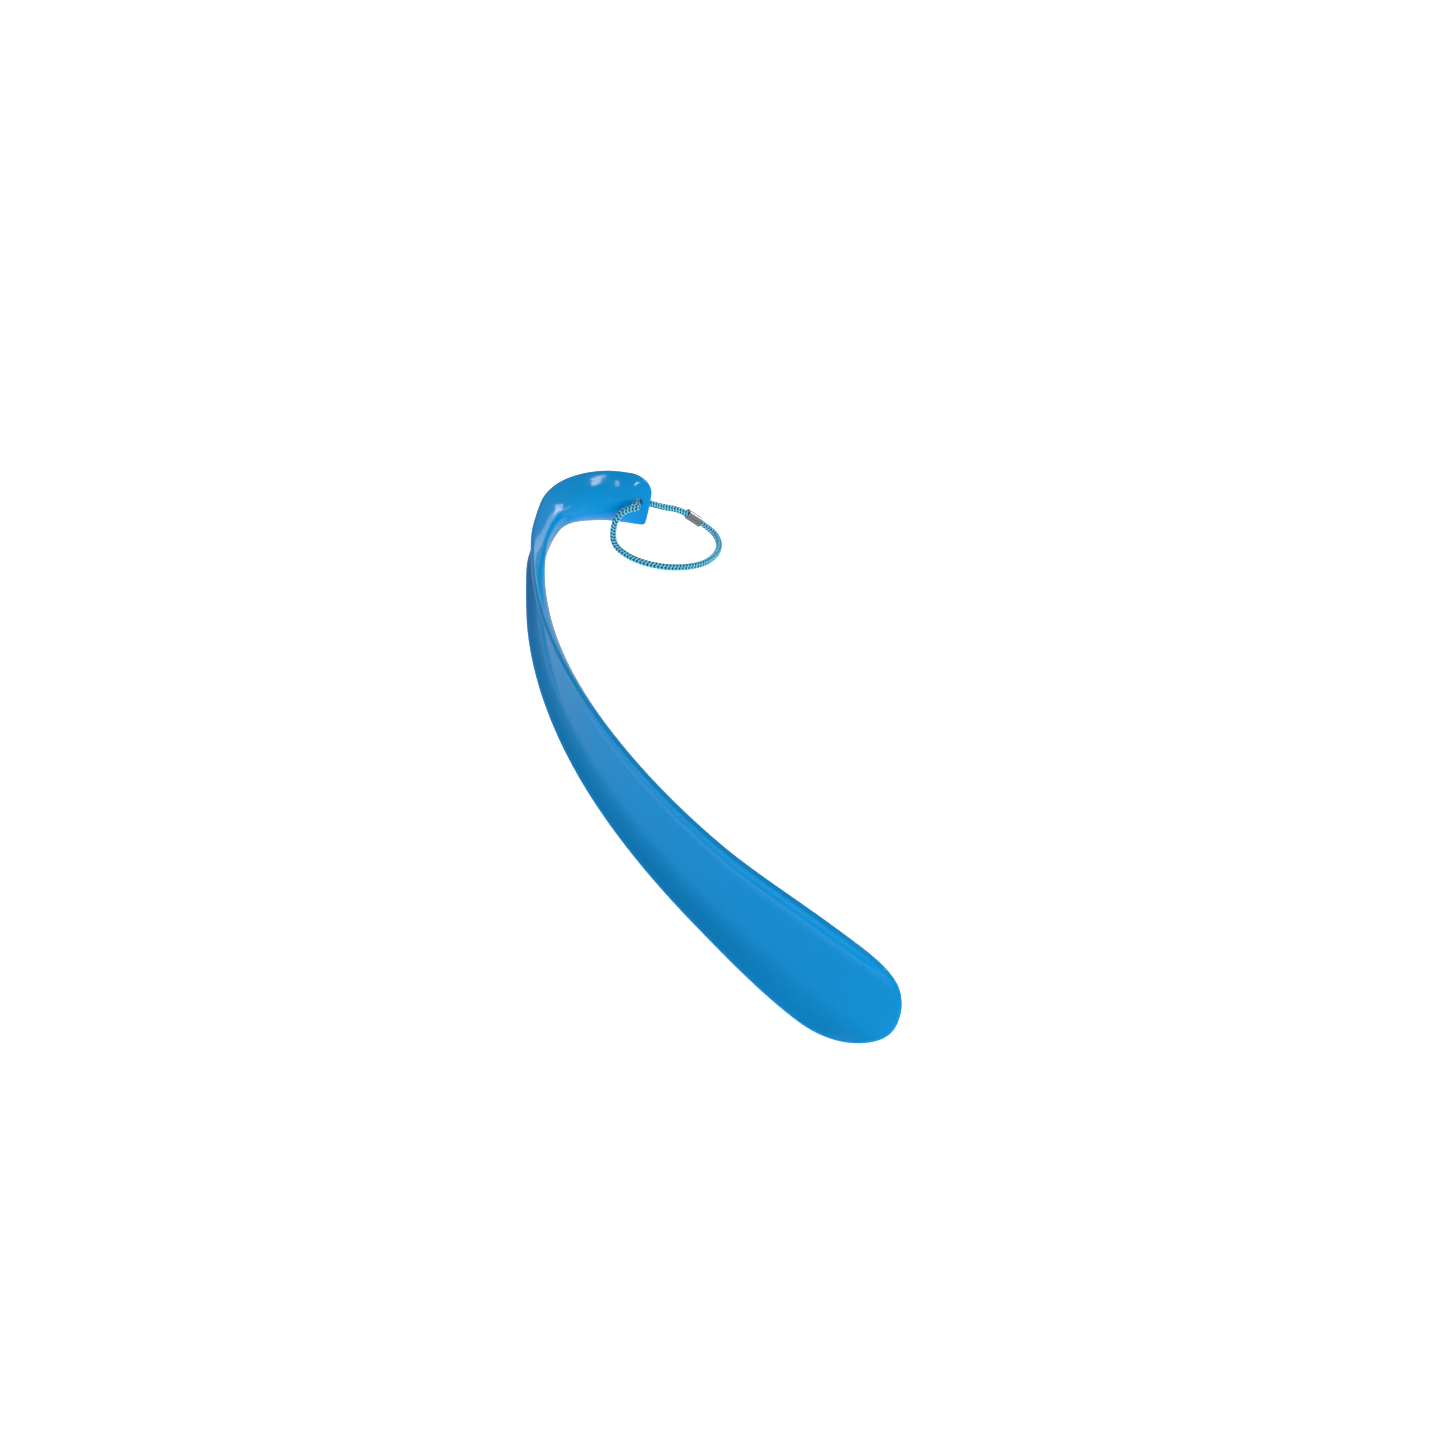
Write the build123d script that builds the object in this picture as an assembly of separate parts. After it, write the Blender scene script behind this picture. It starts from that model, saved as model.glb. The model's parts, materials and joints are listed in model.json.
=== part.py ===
from build123d import *

import math
import os

# A sock and shoe aid: a long shallow trough moulded in one piece, which narrows to a
# neck and turns back into a hook, with a braided cord loop through a hole in the hook.
# Millimetres. The aid stands on its long edge: Z runs across the strip, and X lies along
# the cord hole's axis, pointing from the hook towards the blade's tip. The origin is
# below the middle of the blade's own box, on the surface that it stands on.

# The strip's run, from the hook's end to the tip, as four arcs that bend the same way.
hook_lead_length = 24.0
hook_lead_radius = 470.0
hook_bend_length = 45.0
hook_bend_radius = 56.5
neck_length = 40.0
neck_radius = 153.0
blade_length = 352.5
blade_radius = 388.0

# Across the strip: the wall's thickness, and the overall width at each named place.
wall = 2.4
hook_end_width = 29.7
hook_width = 30.1
hook_bend_width = 23.5
neck_width = 20.2
blade_start_width = 27.2
blade_middle_width = 36.0
blade_lower_width = 42.2
blade_width = 48.4

# How far the trough's lips stand out from its floor, and how much of the floor is flat: the
# hook is domed from lip to lip, and the blade's floor is flatter.
hook_end_depth = 0.5
hook_lead_depth = 10.2
hook_bend_depth = 11.7
neck_depth = 7.5
blade_start_depth = 5.0
blade_middle_depth = 4.4
tip_depth = 5.4
hook_flat_share = 0.12
blade_flat_share = 0.44

# The ends of the strip.
tip_length = 37.0
tip_fullness = 2.3
hook_upper_corner = 11.2
hook_lower_corner = 1.8

# The cord hole, the cord and its crimped sleeve. The cord rests low in its hole.
cord_diameter = 3.8
cord_clearance = 1.1
cord_drop = 0.8
hole_inset = 8.5
ferrule_length = 10.0
ferrule_wall = 0.65
ferrule_widening = 0.8
sleeve_corner = 1.5
seam_width = 0.4
seam_depth = 0.3
seam_margin = 1.0
cord_end_gap = 1.0

# The loop's route. X and Y are from the hole, and the height is how far the cord's middle
# is above where it would lie on the surface.
bend_share = 0.45
sleeve_middle = Vector(-3.8, 40.9, 8.1)
sleeve_run = Vector(2.0, 10.3, -6.0).normalized()
sleeve_lead = 4.5
loop_on_surface = (
    (4.0, 53.4, 0.4),
    (15.5, 49.6, 0.0),
    (26.0, 41.0, 0.0),
    (34.5, 27.0, 0.0),
    (35.0, 9.0, 0.0),
    (28.5, -3.5, 0.0),
    (19.0, -10.8, 0.2),
    (9.5, -15.0, 2.3),
    (5.0, -14.5, 9.1),
)
# Near the hole, the heights are from the cord's own middle in it.
loop_at_hole = (
    (4.6, -13.4, -5.6),
    (4.5, -8.4, -0.6),
    (4.5, 0.0, 0.0),
    (-5.0, 0.0, 0.0),
    (-5.0, 9.5, -2.4),
    (-6.0, 20.5, -6.4),
)

# How finely the strip is lofted, its outline drawn and its box measured.
section_count = 26
wall_points = 5
tip_points = 8
box_tolerance = 0.01

strip_length = hook_lead_length + hook_bend_length + neck_length + blade_length
bend_start = hook_lead_length
bend_middle = hook_lead_length + hook_bend_length / 2
neck_start = hook_lead_length + hook_bend_length
neck_middle = neck_start + neck_length / 2
neck_end = neck_start + neck_length
tip_start = strip_length - tip_length
strip_arcs = (
    (hook_lead_length, hook_lead_radius),
    (hook_bend_length, hook_bend_radius),
    (neck_length, neck_radius),
    (blade_length, blade_radius),
)
width_stations = (
    (0.0, hook_end_width),
    (bend_start, hook_width),
    (neck_start, hook_bend_width),
    (neck_end, neck_width),
    (neck_end + 0.18 * blade_length, blade_start_width),
    (neck_end + 0.45 * blade_length, blade_middle_width),
    (neck_end + 0.74 * blade_length, blade_lower_width),
    (tip_start, blade_width),
    (strip_length, blade_width),
)
depth_stations = (
    (0.0, hook_end_depth),
    (bend_start, hook_lead_depth),
    (bend_middle, hook_bend_depth),
    (neck_middle, neck_depth),
    (neck_end + 0.1 * blade_length, blade_start_depth),
    (neck_end + 0.5 * blade_length, blade_middle_depth),
    (strip_length, tip_depth),
)
flat_stations = (
    (0.0, hook_flat_share),
    (bend_middle, hook_flat_share),
    (neck_end, blade_flat_share),
    (strip_length, blade_flat_share),
)


def level(stations, place):
    """The value at a place along the strip: smooth, and never past its stations."""
    places = [station[0] for station in stations]
    values = [station[1] for station in stations]
    steps = [b - a for a, b in zip(places, places[1:])]
    slopes = [(b - a) / step for a, b, step in zip(values, values[1:], steps)]
    ends = [slopes[0]]
    for before, after in zip(slopes, slopes[1:]):
        same_way = before * after > 0
        ends.append(2 * before * after / (before + after) if same_way else 0.0)
    ends.append(slopes[-1])
    i = max(k for k in range(len(steps)) if k == 0 or places[k] <= place)
    t = (place - places[i]) / steps[i]
    rise = values[i + 1] - values[i]
    eased = values[i] + rise * t * t * (3 - 2 * t)
    start_pull = ends[i] * steps[i] * t * (1 - t) ** 2
    end_pull = ends[i + 1] * steps[i] * t * t * (t - 1)
    return eased + start_pull + end_pull


def strip_point(place):
    """The middle of the strip and its heading in radians, at a distance from the hook's end."""
    heading = -math.pi / 2 - hole_inset / hook_lead_radius
    x = 0.0
    y = 0.0
    left = place
    for length, radius in strip_arcs:
        run = max(0.0, min(left, length))
        turned = heading + run / radius
        x += radius * (math.sin(turned) - math.sin(heading))
        y -= radius * (math.cos(turned) - math.cos(heading))
        heading = turned
        left -= run
    return x, y, heading


def across_plane(place):
    """The plane across the strip: its x runs up the width, and its y out of the trough."""
    x, y, heading = strip_point(place)
    return Plane(origin=(x, y, 0), x_dir=(0, 0, 1), z_dir=(math.cos(heading), math.sin(heading), 0))


def along_plane(place):
    """The plane that touches the strip: its x runs to the tip, and its z out of the trough."""
    x, y, heading = strip_point(place)
    along = (math.cos(heading), math.sin(heading), 0)
    return Plane(origin=(x, y, 0), x_dir=along, z_dir=(math.sin(heading), -math.cos(heading), 0))


def half_profile(place):
    """Points of the wall's middle line from the centre to the lip, each with its slope."""
    half_width = level(width_stations, place) / 2 - wall / 2
    depth = level(depth_stations, place)
    flat = level(flat_stations, place) * half_width
    rising = half_width - flat
    points = [(flat, 0.0, 0.0)]
    for i in range(1, wall_points + 1):
        t = i / wall_points
        points.append((flat + rising * t, depth * t * t, math.atan(2 * depth * t / rising)))
    return points


def section(place):
    """The strip's cross-section: a flat floor, two rising walls and rounded lips."""
    profile = half_profile(place)
    half = wall / 2
    skins = []
    for side in (-1, 1):
        right = []
        for across, rise, slope in profile:
            right.append((across - side * half * math.sin(slope), rise + side * half * math.cos(slope)))
        left = [(-across, rise) for across, rise in reversed(right)]
        skins.append(left + [(0.0, side * half)] + right)
    back, front = skins
    across, rise, slope = profile[-1]
    lip = (across + half * math.cos(slope), rise + half * math.sin(slope))
    outline = [
        Spline(*back),
        ThreePointArc(back[-1], lip, front[-1]),
        Spline(*reversed(front)),
        ThreePointArc(front[0], (-lip[0], lip[1]), back[0]),
    ]
    return across_plane(place) * make_face(outline)


def tip_waste():
    """What is cut off the strip's square end to leave the rounded tip."""
    half_width = blade_width / 2
    reach = 2 * tip_length
    quarter = []
    for i in range(tip_points + 1):
        angle = math.pi / 2 * i / tip_points
        along = tip_length * math.sin(angle) ** (2 / tip_fullness)
        quarter.append((along, half_width * math.cos(angle) ** (2 / tip_fullness)))
    upper = Spline(*quarter, tangents=((1, 0), (0, -1)))
    lower = mirror(upper, about=Plane.XZ)
    tip_face = make_face([upper, lower, Line((0, -half_width), (0, half_width))])
    blank = Pos(reach / 2, 0) * Rectangle(reach, 2 * blade_width)
    return extrude(along_plane(tip_start) * (blank - tip_face), blade_width / 2, both=True)


def corner_waste():
    """What is cut off the hook's end to round its two corners, the upper one generously."""
    plane = along_plane(0)
    waste = []
    for side, radius in ((-1, hook_lower_corner), (1, hook_upper_corner)):
        across = side * hook_end_width / 2
        centre = across - side * radius
        corner = Pos(0, across) * Rectangle(2 * radius, 2 * radius)
        cut = plane * (corner - Pos(radius, centre) * Circle(radius))
        waste.append(extrude(cut, blade_width / 2, both=True))
    return waste


def blade_solid():
    """The moulded strip with its rounded ends and the cord hole."""
    places = [strip_length * i / section_count for i in range(section_count + 1)]
    body = loft([section(place) for place in places])
    body -= tip_waste()
    for waste in corner_waste():
        body -= waste
    hole = Cylinder(cord_diameter / 2 + cord_clearance, 4 * hook_bend_depth)
    x, y, _ = strip_point(hole_inset)
    return body - Pos(x, y, 0) * Rot(0, 90, 0) * hole


def below_middle(shape):
    """The point below the middle of a shape's box, measured on the shape's own surface."""
    places, _ = shape.tessellate(box_tolerance)
    low_x = min(place.X for place in places)
    high_x = max(place.X for place in places)
    low_y = min(place.Y for place in places)
    high_y = max(place.Y for place in places)
    low_z = min(place.Z for place in places)
    return Vector((low_x + high_x) / 2, (low_y + high_y) / 2, low_z)


def lying_below(hole):
    """Where the cord's middle is when it lies on the surface right below the hole."""
    return Vector(hole.X, hole.Y, cord_diameter / 2)


def cord_points(hole):
    """The loop's route: out of the sleeve, round on the surface, through the hole and back."""
    low_start = sleeve_middle + sleeve_run * (cord_end_gap / 2)
    low_exit = sleeve_middle + sleeve_run * (ferrule_length / 2 + sleeve_lead)
    high_end = sleeve_middle - sleeve_run * (cord_end_gap / 2)
    high_exit = sleeve_middle - sleeve_run * (ferrule_length / 2 + sleeve_lead)
    ground = lying_below(hole)
    in_hole = hole - Vector(0, 0, cord_drop)
    route = [ground + low_start, ground + low_exit]
    route += [ground + Vector(*point) for point in loop_on_surface]
    route += [in_hole + Vector(*point) for point in loop_at_hole]
    route += [ground + high_exit, ground + high_end]
    return route


def cord_radii(points):
    """The largest arc at each corner that its two runs have room for."""
    radii = []
    for before, here, after in zip(points, points[1:], points[2:]):
        run_in = here - before
        run_out = after - here
        half_turn = math.radians(run_in.get_angle(run_out) / 2)
        radii.append(bend_share * min(run_in.length, run_out.length) / math.tan(half_turn))
    return radii


def cord_solid(points, radii):
    """The cord as a plain tube along straight runs joined by tangent arcs."""
    path = FilletPolyline(*points, radius=radii)
    start = Plane(origin=path @ 0, z_dir=path % 0)
    return sweep(start * Circle(cord_diameter / 2), path=path), path.length


def ferrule_solid(hole):
    """The metal sleeve: a flattened tube with a seam along its front."""
    height = cord_diameter + 2 * ferrule_wall
    width = height + ferrule_widening
    level_across = sleeve_run.cross(Vector(0, 0, 1))
    middle = lying_below(hole) + sleeve_middle
    plane = Plane(origin=middle, x_dir=level_across, z_dir=sleeve_run)
    profile = RectangleRounded(width, height, sleeve_corner) - Circle(cord_diameter / 2)
    sleeve = extrude(plane * profile, ferrule_length / 2, both=True)
    groove = Box(2 * seam_depth, seam_width, ferrule_length - 2 * seam_margin)
    return sleeve - plane * (Pos(width / 2, 0, 0) * groove)


blade = blade_solid()
to_row = -below_middle(blade)
hole_x, hole_y, _ = strip_point(hole_inset)
hole_middle = Vector(hole_x, hole_y, 0) + to_row
route = cord_points(hole_middle)
radii = cord_radii(route)
cord_loop, cord_length = cord_solid(route, radii)
ferrule = ferrule_solid(hole_middle)

os.makedirs("parts", exist_ok=True)
export_step(Pos(to_row) * blade, "parts/blade.step")
export_step(cord_loop, "parts/cord_loop.step")
export_step(ferrule, "parts/ferrule.step")

section_area = math.pi * cord_diameter**2 / 4
print("cord hole at", [round(value, 2) for value in hole_middle])
print("cord length", round(cord_length, 1))
print("cord volume over section times length", round(cord_loop.volume / (section_area * cord_length), 4))
print("cord radii", [round(radius, 1) for radius in radii])
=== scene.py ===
import json
import math

import bmesh
import bpy
from bpy.props import FloatProperty, FloatVectorProperty, IntProperty, PointerProperty
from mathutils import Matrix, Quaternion, Vector
from mathutils.kdtree import KDTree


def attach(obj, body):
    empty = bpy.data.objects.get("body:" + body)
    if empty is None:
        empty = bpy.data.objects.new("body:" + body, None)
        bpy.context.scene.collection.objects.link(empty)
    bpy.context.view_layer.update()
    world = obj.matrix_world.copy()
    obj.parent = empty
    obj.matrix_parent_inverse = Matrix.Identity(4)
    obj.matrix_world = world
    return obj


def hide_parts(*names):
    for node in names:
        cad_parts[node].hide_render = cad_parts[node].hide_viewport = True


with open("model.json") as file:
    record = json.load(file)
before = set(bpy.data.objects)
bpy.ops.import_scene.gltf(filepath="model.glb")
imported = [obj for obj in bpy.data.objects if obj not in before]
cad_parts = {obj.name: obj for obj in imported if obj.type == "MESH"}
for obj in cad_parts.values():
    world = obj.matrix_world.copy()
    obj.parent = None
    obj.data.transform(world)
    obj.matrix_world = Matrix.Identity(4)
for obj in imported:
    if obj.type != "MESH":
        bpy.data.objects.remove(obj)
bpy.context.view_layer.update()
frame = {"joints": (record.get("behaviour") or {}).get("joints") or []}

bl_info = {
    "name": "Sock and Shoe Aid",
    "version": (1, 0, 0),
    "blender": (4, 5, 0),
    "location": "View3D > Sidebar > Sock Aid",
    "description": "A moulded sock and shoe aid with a braided wrist loop",
    "category": "Add Mesh",
}

MM = 0.001
HOLE = Vector(frame["joints"][0]["pos_m"])

# The strip's run from the hook's end to the tip, in millimetres: the length and radius of
# each arc, and the places along it that the sizes below are set at.
HOOK_LEAD_LENGTH = 24.0
HOOK_BEND_LENGTH = 45.0
NECK_LENGTH = 40.0
BLADE_LENGTH = 352.5
TIP_LENGTH = 37.0
STRIP_ARCS = (
    (HOOK_LEAD_LENGTH, 470.0),
    (HOOK_BEND_LENGTH, 56.5),
    (NECK_LENGTH, 153.0),
    (BLADE_LENGTH, 388.0),
)
BEND_START = HOOK_LEAD_LENGTH
BEND_MIDDLE = BEND_START + HOOK_BEND_LENGTH / 2
NECK_START = BEND_START + HOOK_BEND_LENGTH
NECK_MIDDLE = NECK_START + NECK_LENGTH / 2
NECK_END = NECK_START + NECK_LENGTH
STRIP_LENGTH = NECK_END + BLADE_LENGTH
TIP_START = STRIP_LENGTH - TIP_LENGTH

# The strip's overall width, and how far its lips stand out from the trough's floor.
BLADE_WIDTH = 48.4
WIDTHS = (
    (0.0, 29.7),
    (BEND_START, 30.1),
    (NECK_START, 23.5),
    (NECK_END, 20.2),
    (NECK_END + 0.18 * BLADE_LENGTH, 27.2),
    (NECK_END + 0.45 * BLADE_LENGTH, 36.0),
    (NECK_END + 0.74 * BLADE_LENGTH, 42.2),
    (TIP_START, BLADE_WIDTH),
    (STRIP_LENGTH, BLADE_WIDTH),
)
DEPTHS = (
    (0.0, 0.5),
    (BEND_START, 10.2),
    (BEND_MIDDLE, 11.7),
    (NECK_MIDDLE, 7.5),
    (NECK_END + 0.1 * BLADE_LENGTH, 5.0),
    (NECK_END + 0.5 * BLADE_LENGTH, 4.4),
    (STRIP_LENGTH, 5.4),
)
# How much of the trough's floor is flat: the hook is domed, and the blade is flatter.
HOOK_FLAT_SHARE = 0.12
BLADE_FLAT_SHARE = 0.44
FLAT_SHARES = (
    (0.0, HOOK_FLAT_SHARE),
    (BEND_MIDDLE, HOOK_FLAT_SHARE),
    (NECK_END, BLADE_FLAT_SHARE),
    (STRIP_LENGTH, BLADE_FLAT_SHARE),
)
# How full the tip's outline is (2 is an ellipse), the radii of the hook end's lower and upper
# corners, and how far the cord hole is from the hook's end.
TIP_FULLNESS = 2.3
HOOK_CORNERS = {-1: 1.8, 1: 11.2}
HOLE_INSET = 8.5

# The loop in metres, as the CAD model has it: the sleeve's middle and the way it points, how
# far the cord rests below the hole's middle, the gap between the cord's ends, and how far the
# cord runs straight past the sleeve. In the route and the sleeve's middle, X and Y are from
# the hole, and the height is above the surface.
SLEEVE_MIDDLE = Vector((-0.0038, 0.0409, 0.010))
SLEEVE_RUN = Vector((2.0, 10.3, -6.0)).normalized()
CORD_DROP = 0.0008
CORD_END_GAP = 0.001
SLEEVE_LEAD = 0.0045
LOOP_ON_SURFACE = (
    (0.0040, 0.0534, 0.0023),
    (0.0155, 0.0496, 0.0019),
    (0.0260, 0.0410, 0.0019),
    (0.0345, 0.0270, 0.0019),
    (0.0350, 0.0090, 0.0019),
    (0.0285, -0.0035, 0.0019),
    (0.0190, -0.0108, 0.0021),
    (0.0095, -0.0150, 0.0042),
    (0.0050, -0.0145, 0.0110),
)
# Near the hole, the heights are from the cord's own middle in it.
LOOP_AT_HOLE = (
    (0.0046, -0.0134, -0.0056),
    (0.0045, -0.0084, -0.0006),
    (0.0045, 0.0000, 0.0000),
    (-0.0050, 0.0000, 0.0000),
    (-0.0050, 0.0095, -0.0024),
    (-0.0060, 0.0205, -0.0064),
)

# The studio's lights: each one's place from the hook, its width and height in metres, its
# turn about its own axis in degrees, and how bright its face is.
LIGHTS = (
    ("window_left", (0.14, 0.60, 1.03), (0.11, 0.25), -46, 26),
    ("window_middle", (0.53, 0.42, 0.99), (0.09, 0.285), -21, 16),
    ("window_right", (1.02, 0.10, 0.62), (0.17, 0.17), 0, 30),
    ("back_strip", (-0.9, 1.5, 0.45), (2.4, 0.3), 0, 1.8),
    ("sleeve_lamp", (-0.33, 0.87, 0.35), (0.22, 0.22), 0, 7),
    ("front_fill", (0.9, -1.3, 0.35), (1.0, 0.5), 0, 1.2),
)
# The point by the hook that the lights face, and the strength of the room's even light.
LIGHTS_AIM = HOLE + Vector((-0.003, -0.010, 0.010))
ROOM_LIGHT = 0.42
# How far the floor reaches each way, in metres. The camera's sensor is in millimetres, and the
# nearest that it sees is in metres.
FLOOR_REACH = 6.0
SENSOR_WIDTH = 36
NEAREST_SEEN = 0.01


def linear(code):
    """An sRGB hex colour as linear red, green and blue."""
    parts = [int(code[i:i + 2], 16) / 255 for i in (0, 2, 4)]
    return tuple(c / 12.92 if c <= 0.04045 else ((c + 0.055) / 1.055) ** 2.4 for c in parts)


# ---------------------------------------------------------------- settings


class BladeSettings(bpy.types.PropertyGroup):
    wall: FloatProperty(
        name="Wall", description="Thickness of the moulded wall", default=2.4 * MM, unit="LENGTH")
    hole_radius: FloatProperty(
        name="Hole radius", description="Radius of the cord hole", default=3.0 * MM, unit="LENGTH")
    hole_round: FloatProperty(
        name="Hole rounding", description="How far the hole's edge is rounded over", default=0.5 * MM,
        unit="LENGTH")
    colour: FloatVectorProperty(
        name="Colour", description="Colour of the plastic", default=linear("008bcc"), subtype="COLOR")


class CordSettings(bpy.types.PropertyGroup):
    diameter: FloatProperty(
        name="Diameter", description="Outside diameter of the cord", default=3.8 * MM, unit="LENGTH")
    carriers: IntProperty(
        name="Carriers", description="Bundles of yarn in the braid, half each way round", default=12)
    pitch: FloatProperty(
        name="Pitch", description="Length of cord in which a bundle goes once round", default=11.4 * MM,
        unit="LENGTH")
    colour: FloatVectorProperty(
        name="Colour", description="Colour of the yarn", default=linear("6ccbe8"), subtype="COLOR")
    # The core's darker colour is painted shade, seen in the gaps between the yarns.
    core_painted_shade_colour: FloatVectorProperty(
        name="Core colour", description="Colour of the shaded core", default=linear("3f94b5"),
        subtype="COLOR")


class SleeveSettings(bpy.types.PropertyGroup):
    length: FloatProperty(
        name="Length", description="Length of the crimped sleeve", default=10.0 * MM, unit="LENGTH")
    wall: FloatProperty(
        name="Wall", description="Thickness of the sleeve's metal", default=0.65 * MM, unit="LENGTH")
    widening: FloatProperty(
        name="Widening", description="How much wider than high the crimp has left it",
        default=0.8 * MM, unit="LENGTH")
    colour: FloatVectorProperty(
        name="Colour", description="Colour of the metal", default=linear("bcbcbf"), subtype="COLOR")


class StageSettings(bpy.types.PropertyGroup):
    camera_place: FloatVectorProperty(
        name="Camera", description="Where the camera stands", default=(0.5227, -0.3663, 0.4189),
        subtype="TRANSLATION")
    camera_aim: FloatVectorProperty(
        name="Aim", description="The point in the middle of the picture",
        default=(0.0142, 0.0016, 0.0242), subtype="TRANSLATION")
    camera_roll: FloatProperty(
        name="Roll", description="How far the camera is turned about its own line of sight",
        default=math.radians(13.14), subtype="ANGLE")
    focal_length: FloatProperty(
        name="Focal length", description="The camera's focal length in millimetres", default=41.53,
        unit="CAMERA")
    floor_colour: FloatVectorProperty(
        name="Floor", description="Colour of the floor", default=linear("f7f8f9"), subtype="COLOR")


# ---------------------------------------------------------------- nodes


def add_node(tree, kind, settings=None, inputs=None):
    """Adds a node, sets its properties, and gives its inputs a value or a link."""
    node = tree.nodes.new(kind)
    for name, value in (settings or {}).items():
        setattr(node, name, value)
    for name, value in (inputs or {}).items():
        if isinstance(value, bpy.types.NodeSocket):
            tree.links.new(value, node.inputs[name])
        else:
            node.inputs[name].default_value = value
    return node


def new_material(name):
    """An empty node material and its tree."""
    material = bpy.data.materials.new(name)
    material.use_nodes = True
    material.node_tree.nodes.clear()
    return material, material.node_tree


def finish_material(tree, shader):
    """Sends a shader to the material's output."""
    add_node(tree, "ShaderNodeOutputMaterial", inputs={"Surface": shader.outputs[0]})


def moulded_polypropylene(colour):
    """Polypropylene moulded in a polished tool."""
    # The polished tool gives a wet gloss, the melt's flow leaves long shallow waves in it, and
    # the slightly milky plastic lets a little light through its thin edges.
    flow_wave = 22 * MM
    skin_grain = 1.1 * MM
    handled_patch = 35 * MM
    material, tree = new_material("moulded_polypropylene")
    place = add_node(tree, "ShaderNodeTexCoord").outputs["Object"]
    waves = add_node(tree, "ShaderNodeTexNoise", inputs={
        "Vector": place, "Scale": 1 / flow_wave, "Detail": 1.0})
    peel = add_node(tree, "ShaderNodeTexNoise", inputs={
        "Vector": place, "Scale": 1 / skin_grain, "Detail": 2.0})
    slow = add_node(tree, "ShaderNodeBump", inputs={
        "Height": waves.outputs["Fac"], "Strength": 0.15, "Distance": 0.04 * MM})
    fine = add_node(tree, "ShaderNodeBump", inputs={
        "Height": peel.outputs["Fac"], "Strength": 0.08, "Distance": 0.02 * MM,
        "Normal": slow.outputs[0]})
    handling = add_node(tree, "ShaderNodeTexNoise", inputs={
        "Vector": place, "Scale": 1 / handled_patch, "Detail": 4.0})
    gloss = add_node(tree, "ShaderNodeMapRange", inputs={
        "Value": handling.outputs["Fac"], "From Min": 0.3, "From Max": 0.7, "To Min": 0.07, "To Max": 0.12})
    shader = add_node(tree, "ShaderNodeBsdfPrincipled", inputs={
        "Base Color": (*colour, 1), "Roughness": gloss.outputs[0], "IOR": 1.49,
        "Specular IOR Level": 0.15, "Subsurface Weight": 0.1, "Subsurface Radius": (0.25, 0.8, 1.0),
        "Subsurface Scale": 2 * MM, "Normal": fine.outputs[0]})
    finish_material(tree, shader)
    return material


def braided_polyester(name, colour, roughness):
    """Polyester yarn from a braiding machine."""
    # Bundles of bright filament, whose tone varies at random. A painted highlight makes each bundle
    # paler where it crosses on top, and painted shade darkens the gaps where it dives under the next
    # one. The filament is drawn coarser than it is, so that it shows.
    filament_width = 0.35 * MM
    material, tree = new_material(name)
    place = add_node(tree, "ShaderNodeTexCoord").outputs["Object"]
    height = add_node(tree, "ShaderNodeAttribute", {"attribute_name": "height"}).outputs["Fac"]
    # Painted shade in the gaps and a painted highlight on the crests, from how far out the yarn is.
    painted_crest_and_gap_shade = add_node(tree, "ShaderNodeMapRange", inputs={
        "Value": height, "From Min": 0.3, "From Max": 0.92, "To Min": 0.05, "To Max": 1.4})
    filament = add_node(tree, "ShaderNodeTexNoise", inputs={
        "Vector": place, "Scale": 1 / filament_width, "Detail": 2.0})
    filament_tone = add_node(tree, "ShaderNodeMapRange", inputs={
        "Value": filament.outputs["Fac"], "From Min": 0.3, "From Max": 0.7, "To Min": 0.86, "To Max": 1.12})
    # The random filament tone times the painted shade and highlight.
    tone_and_painted_shade = add_node(tree, "ShaderNodeMath", {"operation": "MULTIPLY"}, {
        0: filament_tone.outputs[0], 1: painted_crest_and_gap_shade.outputs[0]})
    tint = add_node(tree, "ShaderNodeVectorMath", {"operation": "SCALE"}, {
        0: colour, "Scale": tone_and_painted_shade.outputs[0]})
    bump = add_node(tree, "ShaderNodeBump", inputs={
        "Height": filament.outputs["Fac"], "Strength": 0.4, "Distance": 0.05 * MM})
    shader = add_node(tree, "ShaderNodeBsdfPrincipled", inputs={
        "Base Color": tint.outputs[0], "Roughness": roughness, "IOR": 1.5,
        "Specular IOR Level": 0.35, "Normal": bump.outputs[0]})
    finish_material(tree, shader)
    return material


def crimped_nickel(colour):
    """Nickel-plated steel strip, rolled, bent and crimped."""
    # The plating is bright, and the crimping jaws dent and dull it in patches.
    jaw_mark = 1.6 * MM
    material, tree = new_material("crimped_nickel")
    place = add_node(tree, "ShaderNodeTexCoord").outputs["Object"]
    patches = add_node(tree, "ShaderNodeTexNoise", inputs={
        "Vector": place, "Scale": 1 / jaw_mark, "Detail": 3.0})
    dull = add_node(tree, "ShaderNodeMapRange", inputs={
        "Value": patches.outputs["Fac"], "From Min": 0.3, "From Max": 0.7, "To Min": 0.22, "To Max": 0.38})
    bump = add_node(tree, "ShaderNodeBump", inputs={
        "Height": patches.outputs["Fac"], "Strength": 0.3, "Distance": 0.04 * MM})
    shader = add_node(tree, "ShaderNodeBsdfPrincipled", inputs={
        "Base Color": (*colour, 1), "Metallic": 1.0, "Roughness": dull.outputs[0],
        "Normal": bump.outputs[0]})
    finish_material(tree, shader)
    return material


def matte_floor(colour):
    """Opal acrylic sheet, sanded matte and lit from below, as on a light table."""
    # Its own light keeps the ground evenly white, so almost no shadow shows on it.
    material, tree = new_material("matte_floor")
    shader = add_node(tree, "ShaderNodeBsdfPrincipled", inputs={
        "Base Color": (*colour, 1), "Roughness": 0.9, "Specular IOR Level": 0.1,
        "Emission Color": (*colour, 1), "Emission Strength": 0.8})
    finish_material(tree, shader)
    return material


# ---------------------------------------------------------------- shapes


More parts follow.
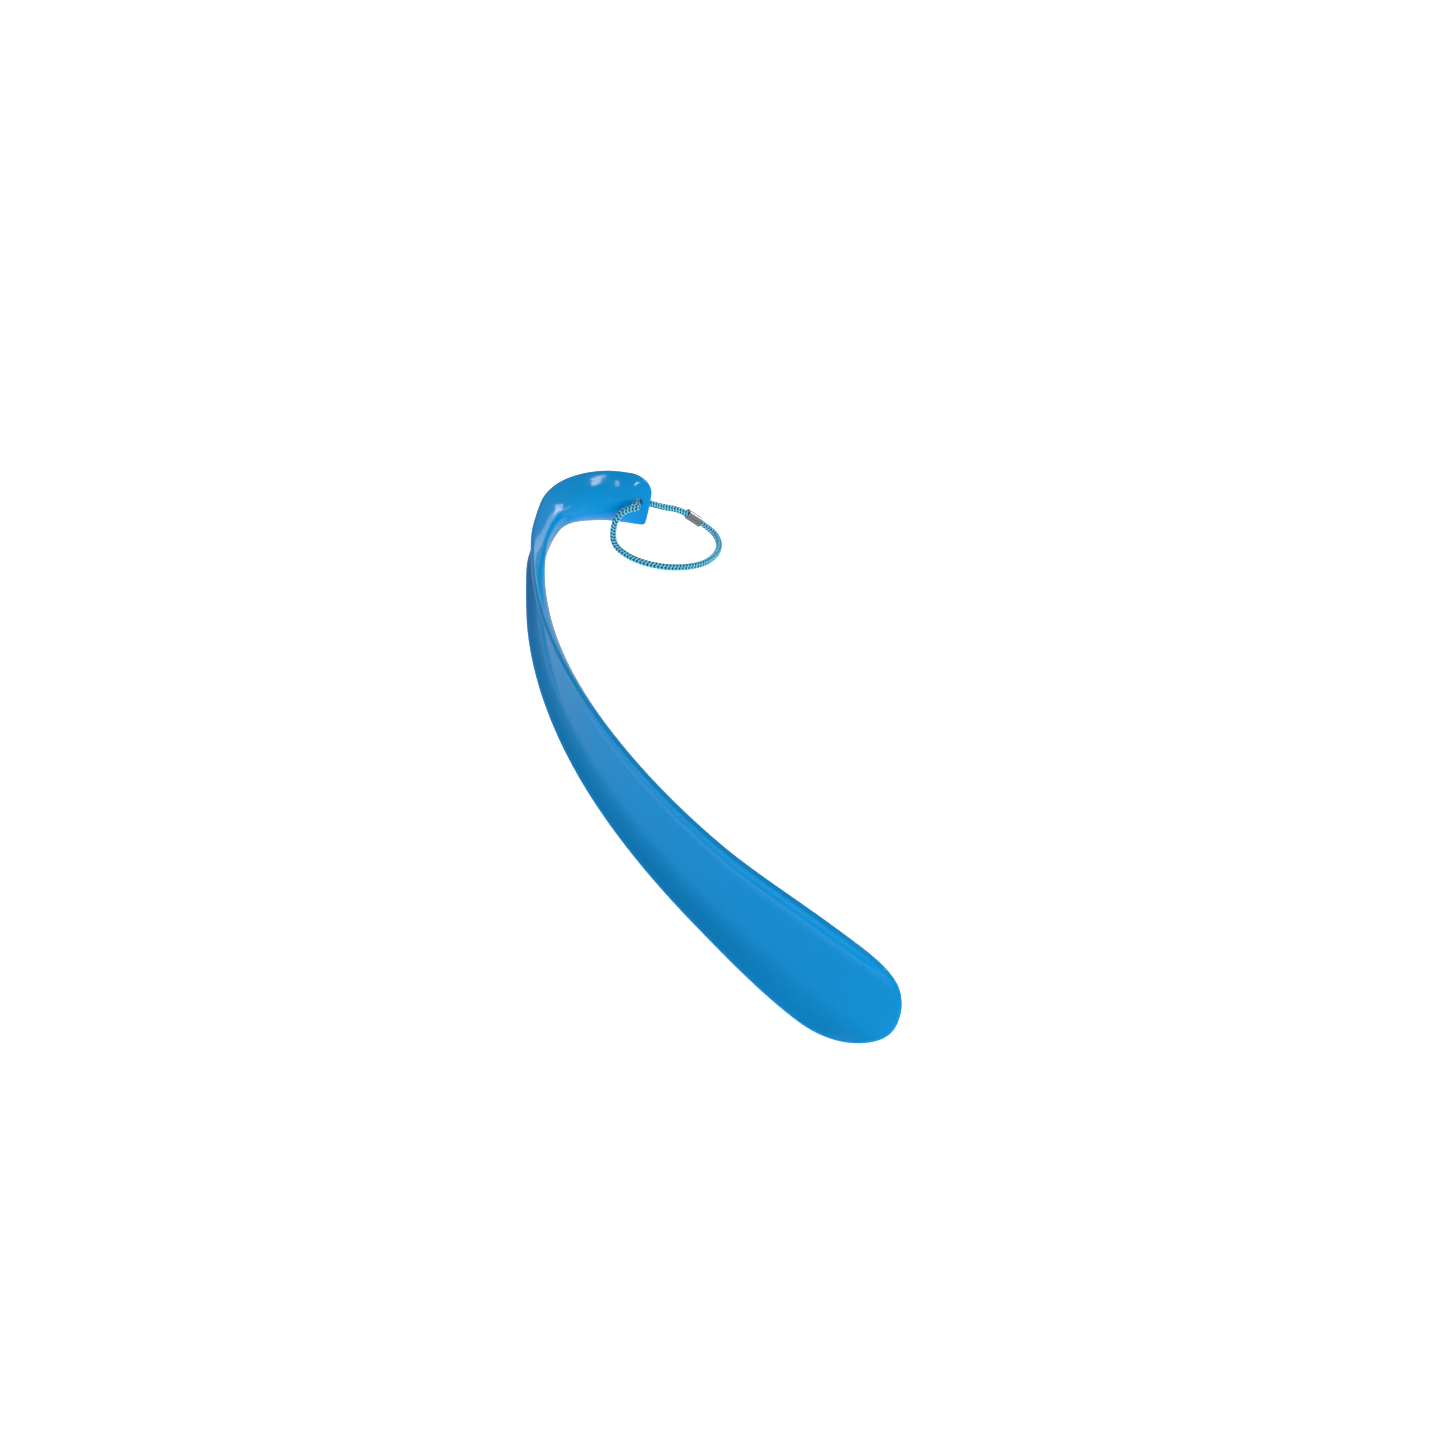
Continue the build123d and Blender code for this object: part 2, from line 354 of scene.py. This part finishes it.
def level(stations, place):
    """The value at a place along the strip: smooth, and never past its stations."""
    places = [station[0] for station in stations]
    values = [station[1] for station in stations]
    steps = [b - a for a, b in zip(places, places[1:])]
    slopes = [(b - a) / step for a, b, step in zip(values, values[1:], steps)]
    ends = [slopes[0]]
    for before, after in zip(slopes, slopes[1:]):
        ends.append(2 * before * after / (before + after) if before * after > 0 else 0.0)
    ends.append(slopes[-1])
    i = max(k for k in range(len(steps)) if k == 0 or places[k] <= place)
    t = (place - places[i]) / steps[i]
    eased = values[i] + (values[i + 1] - values[i]) * t * t * (3 - 2 * t)
    return eased + steps[i] * (ends[i] * t * (1 - t) ** 2 + ends[i + 1] * t * t * (t - 1))


def strip_point(place):
    """The middle of the strip in millimetres from the hole, and its heading in radians."""
    def run_to(distance):
        heading = -math.pi / 2 - HOLE_INSET / STRIP_ARCS[0][1]
        x = 0.0
        y = 0.0
        left = distance
        for length, radius in STRIP_ARCS:
            turned = heading + max(0.0, min(left, length)) / radius
            x += radius * (math.sin(turned) - math.sin(heading))
            y -= radius * (math.cos(turned) - math.cos(heading))
            heading = turned
            left -= length
        return x, y, heading
    x, y, heading = run_to(place)
    hole_x, hole_y, _ = run_to(HOLE_INSET)
    return x - hole_x, y - hole_y, heading


def strip_surface(place, across, wall):
    """A point in the middle of the wall, in metres in the shared frame."""
    half_width = level(WIDTHS, place) / 2 - wall / 2
    flat = level(FLAT_SHARES, place) * half_width
    t = max(0.0, (abs(across) - flat) / (half_width - flat))
    rise = level(DEPTHS, place) * t * t
    x, y, heading = strip_point(place)
    out = Vector((math.sin(heading), -math.cos(heading), 0))
    return HOLE + (Vector((x, y, across)) + out * rise) * MM


def new_object(context, name, bm):
    """An object in the scene that takes its smooth-shaded mesh from a bmesh."""
    mesh = bpy.data.meshes.new(name)
    for face in bm.faces:
        face.smooth = True
    bm.to_mesh(mesh)
    bm.free()
    made = bpy.data.objects.new(name, mesh)
    context.collection.objects.link(made)
    return made


def round_corner(p, q, fullness=2.0):
    """Maps a unit square onto a rounded quarter, and keeps its two inner sides."""
    if p <= 0 or q <= 0:
        return p, q
    across = p * math.sqrt(1 - q * q / 2)
    along = q * math.sqrt(1 - p * p / 2)
    swell = math.hypot(across, along) / (across ** fullness + along ** fullness) ** (1 / fullness)
    return across * swell, along * swell


class SOCKAID_OT_blade(bpy.types.Operator):
    """Models the moulded blade, its hook end and its cord hole"""
    bl_idname = "sockaid.blade"
    bl_label = "Blade"

    # The grid's steps across the strip, from its end to the hole's middle, and from the hole's
    # middle to its edge along and across the strip. The rim is rounded in rim_cuts + 1 steps.
    columns = 40
    rows_to_hole = 5
    hole_rows = 2
    hole_columns = 4
    rim_cuts = 7

    def grid_point(self, row, column, spacing, wall):
        """The place along the strip and the distance across it of one point of the grid."""
        place = wall / 2 + row * spacing
        side = 1 if column >= 0 else -1
        share = abs(column) / (self.columns / 2)
        if place > TIP_START:
            tip = TIP_LENGTH - wall / 2
            p, share = round_corner((place - TIP_START) / tip, share, TIP_FULLNESS)
            place = TIP_START + p * tip
        half_width = level(WIDTHS, place) / 2 - wall / 2
        across = share * half_width
        corner = HOOK_CORNERS[side] - wall / 2
        p = 1 - (place - wall / 2) / corner
        q = 1 - (half_width - across) / corner
        if p > 0 and q > 0:
            p, q = round_corner(p, q)
            place = wall / 2 + corner * (1 - p)
            across = half_width - corner * (1 - q)
        return place, side * across

    def hole_point(self, place, across, steps, share, radius):
        """Moves a point of the grid near the hole, so that the gap left open for it is round."""
        # The move fades out at twice the gap's own steps.
        reach = max(steps, share)
        if reach >= 2 or reach == 0:
            return place, across
        offset = Vector((place - HOLE_INSET, across))
        on_circle = offset.normalized() * radius * reach
        keep = max(0.0, reach - 1)
        moved = on_circle.lerp(offset, keep)
        return HOLE_INSET + moved.x, moved.y

    def execute(self, context):
        settings = context.scene.sockaid_blade
        wall = settings.wall / MM
        hole_edge = (settings.hole_radius + settings.hole_round) / MM
        spacing = (HOLE_INSET - wall / 2) / self.rows_to_hole
        rows = round((STRIP_LENGTH - wall) / spacing)
        spacing_left = (STRIP_LENGTH - wall / 2 - HOLE_INSET) / (rows - self.rows_to_hole)
        bm = bmesh.new()
        bmesh.ops.create_grid(bm, x_segments=rows, y_segments=self.columns, size=1.0)
        opened = []
        for vert in bm.verts:
            # The rows past the hole are spaced a little differently, so that the last is the tip.
            row = round((vert.co.x + 1) / 2 * rows)
            column = round(vert.co.y / 2 * self.columns)
            past = max(0, row - self.rows_to_hole)
            even_row = min(row, self.rows_to_hole) + past * spacing_left / spacing
            place, across = self.grid_point(even_row, column, spacing, wall)
            steps = abs(row - self.rows_to_hole) / self.hole_rows
            share = abs(column) / self.hole_columns
            place, across = self.hole_point(place, across, steps, share, hole_edge)
            if max(steps, share) < 1:
                opened.append(vert)
            vert.co = strip_surface(place, across, wall)
        bmesh.ops.delete(bm, geom=opened, context="VERTS")
        self.thicken(bm, settings)
        bmesh.ops.recalc_face_normals(bm, faces=bm.faces)
        blade = new_object(context, "blade_moulding", bm)
        blade.data.materials.append(moulded_polypropylene(settings.colour))
        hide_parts("blade")
        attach(blade, "blade")
        return {"FINISHED"}

    def thicken(self, bm, settings):
        """Gives the surface its wall, and rounds its lips and the hole's edge over."""
        half = settings.wall / 2
        side = bm.verts.layers.float.new("side")
        normal = bm.verts.layers.float_vector.new("normal")
        outward = bm.verts.layers.float_vector.new("outward")
        bm.normal_update()
        for vert in bm.verts:
            vert[normal] = vert.normal
            vert[side] = -1.0
            borders = [edge for edge in vert.link_edges if edge.is_boundary]
            if borders:
                ends = [edge.other_vert(vert).co for edge in borders]
                along = (ends[1] - ends[0]).normalized()
                away = along.cross(vert.normal)
                inner = sum((face.calc_center_median() for face in vert.link_faces), Vector())
                inner /= len(vert.link_faces)
                if away.dot(inner - vert.co) > 0:
                    away.negate()
                at_hole = (vert.co - HOLE).length < 2 * settings.hole_radius
                vert[outward] = away * (settings.hole_round if at_hole else half)
        front = set(bm.verts)
        for vert in bm.verts:
            vert.co -= vert[normal] * half
        made = bmesh.ops.extrude_face_region(bm, geom=bm.faces[:], use_keep_orig=True)
        back = [item for item in made["geom"] if isinstance(item, bmesh.types.BMVert)]
        for vert in back:
            vert[side] = 1.0
            vert.co += vert[normal] * settings.wall
        across = [edge for edge in bm.edges if sum(vert in front for vert in edge.verts) == 1]
        bmesh.ops.subdivide_edges(bm, edges=across, cuts=self.rim_cuts, use_grid_fill=True)
        for vert in bm.verts:
            share = vert[side]
            between_faces = abs(share) < 0.999
            if between_faces:
                turn = share * math.pi / 2
                vert.co += vert[normal] * half * (math.sin(turn) - share)
                vert.co += vert[outward] * math.cos(turn)


def cord_route():
    """The control points of the loop's line, from inside the sleeve round to inside it again."""
    ground = Vector((HOLE.x, HOLE.y, 0))
    in_hole = HOLE - Vector((0, 0, CORD_DROP))
    half = bpy.context.scene.sockaid_sleeve.length / 2
    middle = ground + SLEEVE_MIDDLE
    route = [middle + SLEEVE_RUN * CORD_END_GAP / 2, middle + SLEEVE_RUN * (half + SLEEVE_LEAD)]
    route += [ground + Vector(point) for point in LOOP_ON_SURFACE]
    route += [in_hole + Vector(point) for point in LOOP_AT_HOLE]
    route += [middle - SLEEVE_RUN * (half + SLEEVE_LEAD), middle - SLEEVE_RUN * CORD_END_GAP / 2]
    return route


def curve_mesh(name, lines, kind, thickness=0.0):
    """A mesh from a curve of one spline per line: its bare line, or a round thread along it."""
    # A thread has six sides, which don't show in a yarn half a millimetre thick.
    curve = bpy.data.curves.new(name, "CURVE")
    curve.dimensions = "3D"
    curve.resolution_u = 24
    curve.bevel_depth = thickness
    curve.bevel_resolution = 1
    curve.use_fill_caps = thickness > 0
    for points in lines:
        spline = curve.splines.new(kind)
        spline.points.add(len(points) - 1)
        for point, place in zip(spline.points, points):
            point.co = (*place, 1)
        if kind == "NURBS":
            spline.order_u = 3
            spline.use_endpoint_u = True
    holder = bpy.data.objects.new(name, curve)
    bpy.context.scene.collection.objects.link(holder)
    mesh = bpy.data.meshes.new_from_object(holder.evaluated_get(bpy.context.evaluated_depsgraph_get()))
    bpy.data.objects.remove(holder)
    bpy.data.curves.remove(curve)
    return mesh


def even_line(points, step):
    """Points spaced evenly along a line."""
    line = [points[0]]
    left = step
    for a, b in zip(points, points[1:]):
        length = (b - a).length
        while left <= length:
            line.append(a.lerp(b, left / length))
            left += step
        left -= length
    line.append(points[-1])
    return line


def carried_frames(points):
    """A sideways direction at each point, carried along the line without twist."""
    heading = (points[1] - points[0]).normalized()
    side = heading.orthogonal().normalized()
    frames = []
    for before, after in zip(points[:1] + points[:-1], points[1:] + points[-1:]):
        turned = (after - before).normalized()
        side = (heading.rotation_difference(turned) @ side).normalized()
        heading = turned
        frames.append((side, heading.cross(side)))
    return frames


class SOCKAID_OT_cord(bpy.types.Operator):
    """Braids the cord loop along its route"""
    bl_idname = "sockaid.cord"
    bl_label = "Cord loop"

    # The spacing of the points along the cord, the thickness of a yarn, and how quickly a bundle
    # comes up over the next ones and stays there: 1 is a plain wave.
    step = 0.47 * MM
    yarn = 0.50 * MM
    plateau = 1.4

    def yarn_line(self, line, frames, carrier, way, lean, settings):
        """The line of one yarn: it winds one way round and goes over two bundles and under two."""
        lap = settings.carriers // 2
        middle = settings.diameter / 2 - self.yarn
        points = []
        for i, (centre, (side, up)) in enumerate(zip(line, frames)):
            turns = i * self.step / settings.pitch
            angle = 2 * math.pi * (way * turns + carrier / lap) + lean / middle
            weave = math.cos(math.pi * (turns * lap + carrier * way) + (0 if way > 0 else math.pi))
            reach = middle + self.yarn / 2 * max(-1.0, min(1.0, self.plateau * weave))
            points.append(centre + (side * math.cos(angle) + up * math.sin(angle)) * reach)
        return points

    def mark_height(self, bm, line, settings):
        """Stores how far out each point of the braid is: 0 in the gaps and 1 on the crests."""
        tree = KDTree(len(line))
        for i, point in enumerate(line):
            tree.insert(point, i)
        tree.balance()
        # The braid's material turns this height into painted shade in the gaps and a painted highlight on
        # the crests.
        layer = bm.verts.layers.float.new("height")
        for vert in bm.verts:
            _, i, _ = tree.find(vert.co)
            before = line[max(i - 1, 0)]
            along = (line[min(i + 1, len(line) - 1)] - before).normalized()
            offset = vert.co - line[i]
            out = (offset - along * offset.dot(along)).length
            vert[layer] = 1 - (settings.diameter / 2 - out) / self.yarn

    def execute(self, context):
        settings = context.scene.sockaid_cord
        rough = curve_mesh("cord_line", [cord_route()], "NURBS")
        line = even_line([vert.co.copy() for vert in rough.vertices], self.step)
        bpy.data.meshes.remove(rough)
        frames = carried_frames(line)
        yarns = []
        for way in (-1, 1):
            for carrier in range(settings.carriers // 2):
                for lean in (-0.5 * self.yarn, 0.5 * self.yarn):
                    yarns.append(self.yarn_line(line, frames, carrier, way, lean, settings))
        braid = curve_mesh("cord_yarns", yarns, "POLY", self.yarn / 2)
        core = curve_mesh("cord_core", [line], "POLY", settings.diameter / 2 - 1.5 * self.yarn)
        bm = bmesh.new()
        bm.from_mesh(braid)
        braid_faces = len(bm.faces)
        bm.from_mesh(core)
        bpy.data.meshes.remove(braid)
        bpy.data.meshes.remove(core)
        bm.faces.ensure_lookup_table()
        for face in bm.faces[braid_faces:]:
            face.material_index = 1
        self.mark_height(bm, line, settings)
        cord = new_object(context, "cord_braid", bm)
        cord.data.materials.append(braided_polyester("braided_polyester", settings.colour, 0.42))
        # The core is coloured darker, as painted shade in the gaps between the yarns.
        cord.data.materials.append(braided_polyester("painted_shade_braid_core", settings.core_painted_shade_colour, 0.8))
        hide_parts("cord_loop")
        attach(cord, "wrist_loop")
        return {"FINISHED"}


class SOCKAID_OT_sleeve(bpy.types.Operator):
    """Bends and crimps the metal sleeve that joins the cord's ends"""
    bl_idname = "sockaid.sleeve"
    bl_label = "Crimped sleeve"

    # The corners are as square as the crimp has left them: 1 is round and 0 is square.
    sides = 64
    rings = 20
    squareness = 0.45
    edge_round = 0.25 * MM
    # The seam at each step from its middle: how deep it is, and how far from its middle that
    # step stands, as shares of half the sleeve's width and height.
    seam = ((0.12, 0.0), (0.12, 0.06), (0.0, 0.08), (0.0, 0.16))

    def execute(self, context):
        settings = context.scene.sockaid_sleeve
        bore = context.scene.sockaid_cord.diameter / 2
        height = bore + settings.wall
        width = height + settings.widening / 2
        middle = Vector((HOLE.x, HOLE.y, 0)) + SLEEVE_MIDDLE
        across = SLEEVE_RUN.cross(Vector((0, 0, 1))).normalized()
        up = across.cross(SLEEVE_RUN)
        bm = bmesh.new()
        ring = bmesh.ops.create_circle(bm, segments=self.sides, radius=1.0)["verts"]
        for vert in ring:
            p = abs(vert.co.x) ** self.squareness * math.copysign(1, vert.co.x)
            q = abs(vert.co.y) ** self.squareness * math.copysign(1, vert.co.y)
            step = abs(round(math.atan2(vert.co.y, vert.co.x) * self.sides / math.tau))
            if step < len(self.seam):
                depth, from_middle = self.seam[step]
                p -= depth
                q = math.copysign(from_middle, vert.co.y)
            vert.co = middle + across * p * width + up * q * height - SLEEVE_RUN * settings.length / 2
        edges = bm.edges[:]
        for _ in range(self.rings):
            made = bmesh.ops.extrude_edge_only(bm, edges=edges)["geom"]
            edges = [item for item in made if isinstance(item, bmesh.types.BMEdge)]
            fresh = [item for item in made if isinstance(item, bmesh.types.BMVert)]
            bmesh.ops.translate(bm, verts=fresh, vec=SLEEVE_RUN * settings.length / self.rings)
        bmesh.ops.recalc_face_normals(bm, faces=bm.faces)
        sleeve = new_object(context, "crimp_sleeve", bm)
        sleeve.data.materials.append(crimped_nickel(settings.colour))
        shell = sleeve.modifiers.new("metal", "SOLIDIFY")
        shell.thickness = settings.wall
        shell.offset = -1.0
        edge = sleeve.modifiers.new("edges", "BEVEL")
        edge.width = self.edge_round
        edge.segments = 3
        edge.limit_method = "ANGLE"
        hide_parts("ferrule")
        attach(sleeve, "wrist_loop")
        return {"FINISHED"}


class SOCKAID_OT_stage(bpy.types.Operator):
    """Sets the floor, the soft lights and the camera"""
    bl_idname = "sockaid.stage"
    bl_label = "Stage"

    def soft_light(self, name, aim, way, size, turn, brightness):
        """A rectangular studio light that faces a point."""
        light = bpy.data.lights.new(name, "AREA")
        light.shape = "RECTANGLE"
        light.size, light.size_y = size
        light.energy = brightness * math.pi * light.size * light.size_y
        holder = bpy.data.objects.new(name, light)
        bpy.context.scene.collection.objects.link(holder)
        holder.location = aim + way
        holder.visible_camera = False
        holder.rotation_mode = "QUATERNION"
        holder.rotation_quaternion = way.to_track_quat("Z", "Y") @ Quaternion((0, 0, 1), turn)

    def lay_floor(self, context, settings):
        """Lays a flat floor, which the glossy plastic doesn't mirror."""
        bm = bmesh.new()
        bmesh.ops.create_grid(bm, x_segments=1, y_segments=1, size=FLOOR_REACH)
        floor = new_object(context, "floor", bm)
        floor.data.materials.append(matte_floor(settings.floor_colour))
        floor.visible_glossy = False

    def light_studio(self, context):
        """Lights the room evenly, and hangs the soft lights."""
        world = bpy.data.worlds.new("studio")
        world.use_nodes = True
        background = world.node_tree.nodes["Background"]
        background.inputs["Color"].default_value = (1, 1, 1, 1)
        background.inputs["Strength"].default_value = ROOM_LIGHT
        context.scene.world = world
        context.scene.view_settings.view_transform = "Standard"
        for name, way, size, turn, brightness in LIGHTS:
            self.soft_light(name, LIGHTS_AIM, Vector(way), size, math.radians(turn), brightness)

    def place_camera(self, context, settings):
        """Stands the camera in its place, aimed and rolled."""
        camera = bpy.data.cameras.new("camera")
        camera.lens = settings.focal_length
        camera.sensor_width = SENSOR_WIDTH
        camera.clip_start = NEAREST_SEEN
        holder = bpy.data.objects.new("camera", camera)
        context.scene.collection.objects.link(holder)
        place = Vector(settings.camera_place)
        sight = (Vector(settings.camera_aim) - place).to_track_quat("-Z", "Y")
        holder.location = place
        holder.rotation_mode = "QUATERNION"
        holder.rotation_quaternion = sight @ Quaternion((0, 0, 1), settings.camera_roll)
        context.scene.camera = holder

    def execute(self, context):
        settings = context.scene.sockaid_stage
        self.lay_floor(context, settings)
        self.light_studio(context)
        self.place_camera(context, settings)
        return {"FINISHED"}


class SOCKAID_PT_panel(bpy.types.Panel):
    """Lists the aid's pieces and the sizes that can be changed"""
    bl_idname = "SOCKAID_PT_panel"
    bl_label = "Sock Aid"
    bl_space_type = "VIEW_3D"
    bl_region_type = "UI"
    bl_category = "Sock Aid"

    def draw(self, context):
        for operator, group_name, _ in PIECES:
            box = self.layout.box()
            box.operator(operator.bl_idname)
            settings = getattr(context.scene, group_name)
            for name in settings.bl_rna.properties.keys():
                if name not in ("rna_type", "name"):
                    box.prop(settings, name)


PIECES = (
    (SOCKAID_OT_blade, "sockaid_blade", BladeSettings),
    (SOCKAID_OT_sleeve, "sockaid_sleeve", SleeveSettings),
    (SOCKAID_OT_cord, "sockaid_cord", CordSettings),
    (SOCKAID_OT_stage, "sockaid_stage", StageSettings),
)


def register():
    """Adds the settings, the operators and the panel to Blender."""
    for operator, group_name, group in PIECES:
        bpy.utils.register_class(group)
        setattr(bpy.types.Scene, group_name, PointerProperty(type=group))
        bpy.utils.register_class(operator)
    bpy.utils.register_class(SOCKAID_PT_panel)


def unregister():
    """Takes them away again."""
    bpy.utils.unregister_class(SOCKAID_PT_panel)
    for operator, group_name, group in reversed(PIECES):
        bpy.utils.unregister_class(operator)
        delattr(bpy.types.Scene, group_name)
        bpy.utils.unregister_class(group)


def main():
    """Makes every piece and the stage."""
    register()
    bpy.ops.sockaid.blade()
    bpy.ops.sockaid.sleeve()
    bpy.ops.sockaid.cord()
    bpy.ops.sockaid.stage()


if __name__ == "__main__":
    main()
